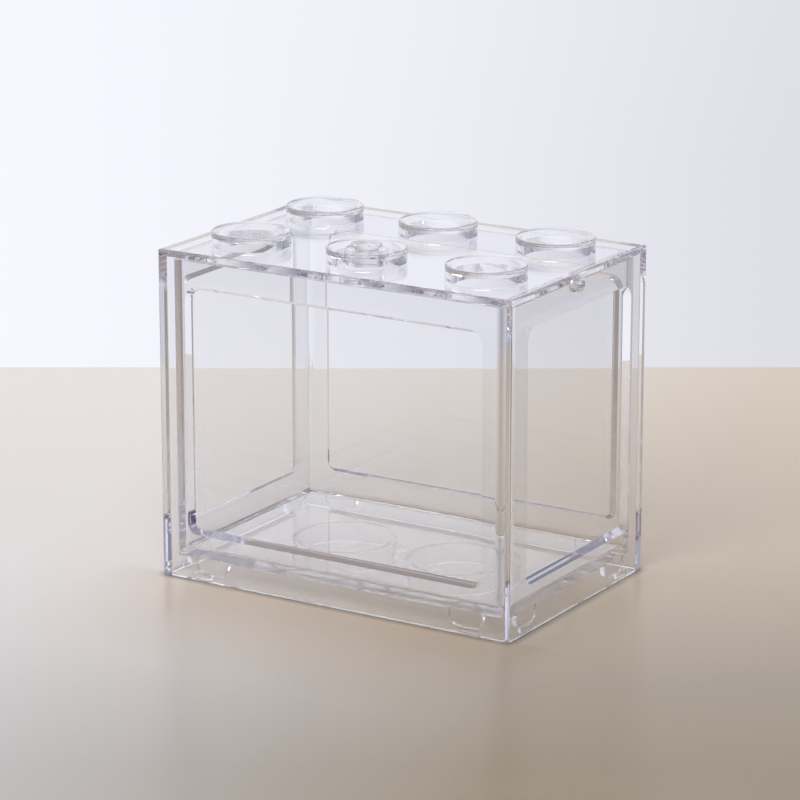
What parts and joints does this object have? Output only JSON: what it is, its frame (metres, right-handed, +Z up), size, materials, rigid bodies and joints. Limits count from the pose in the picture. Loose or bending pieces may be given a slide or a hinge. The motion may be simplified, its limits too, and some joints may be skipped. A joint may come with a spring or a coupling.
{
  "type": "fish breeding box",
  "caption": "Clear stackable breeding box for small fish: studded cover with four windows over a raised water tank, with an air line hole and a plugged feeding hole.",
  "frame": {"origin": "on the table under the middle of the box", "axes": "+X to the right along the long side, +Y to the back, +Z up; the front face looks towards -Y"},
  "size_m": [0.1196, 0.0796, 0.1053],
  "materials": {
    "clear_plastic": "clear moulded plastic, polished all over, with bright edges",
    "plug_plastic": "clear soft plastic, slightly duller than the cover"
  },
  "bodies": {
    "tank": {"tank": "clear_plastic"},
    "cover": {"cover": "clear_plastic"},
    "plug": {"feed_plug": "plug_plastic"}
  },
  "joints": [
    {"name": "cover_lift", "type": "slide", "parent": "tank", "child": "cover", "axis": [0, 0, 1], "range_m": [0, 0.105]},
    {"name": "plug_pull", "type": "slide", "parent": "cover", "child": "plug", "axis": [0, 0, 1], "range_m": [0, 0.008]}
  ]
}
